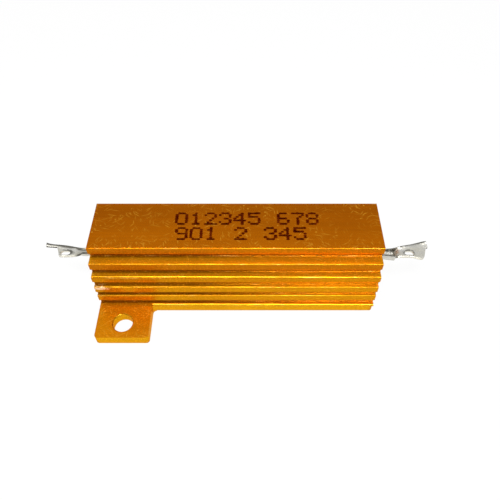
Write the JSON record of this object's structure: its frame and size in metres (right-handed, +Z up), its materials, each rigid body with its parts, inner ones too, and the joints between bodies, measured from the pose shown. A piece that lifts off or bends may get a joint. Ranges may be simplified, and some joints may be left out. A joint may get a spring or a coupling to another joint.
{
  "type": "aluminium housed resistor",
  "caption": "Wirewound power resistor in a finned gold anodised aluminium housing, with a screw foot at opposite corners and a solder lug at each end.",
  "frame": {"origin": "middle of the housing on the plane of the mounting face", "axes": "+X along the bore towards the right lug, -Y towards the front with the left foot, +Z up from the mounting face"},
  "size_m": [0.0704, 0.0292, 0.0152],
  "materials": {
    "gold_anodised": "satin",
    "ceramic": "matte",
    "cap_steel": "satin",
    "resistance_alloy": "satin",
    "compound": "matte",
    "tinned_sheet": "satin"
  },
  "bodies": {
    "root": {"housing": "gold_anodised", "ceramic_core": "ceramic", "end_cap_left": "cap_steel", "end_cap_right": "cap_steel", "resistance_winding": "resistance_alloy", "moulding_compound": "compound", "terminal_left": "tinned_sheet", "terminal_right": "tinned_sheet"}
  },
  "joints": []
}
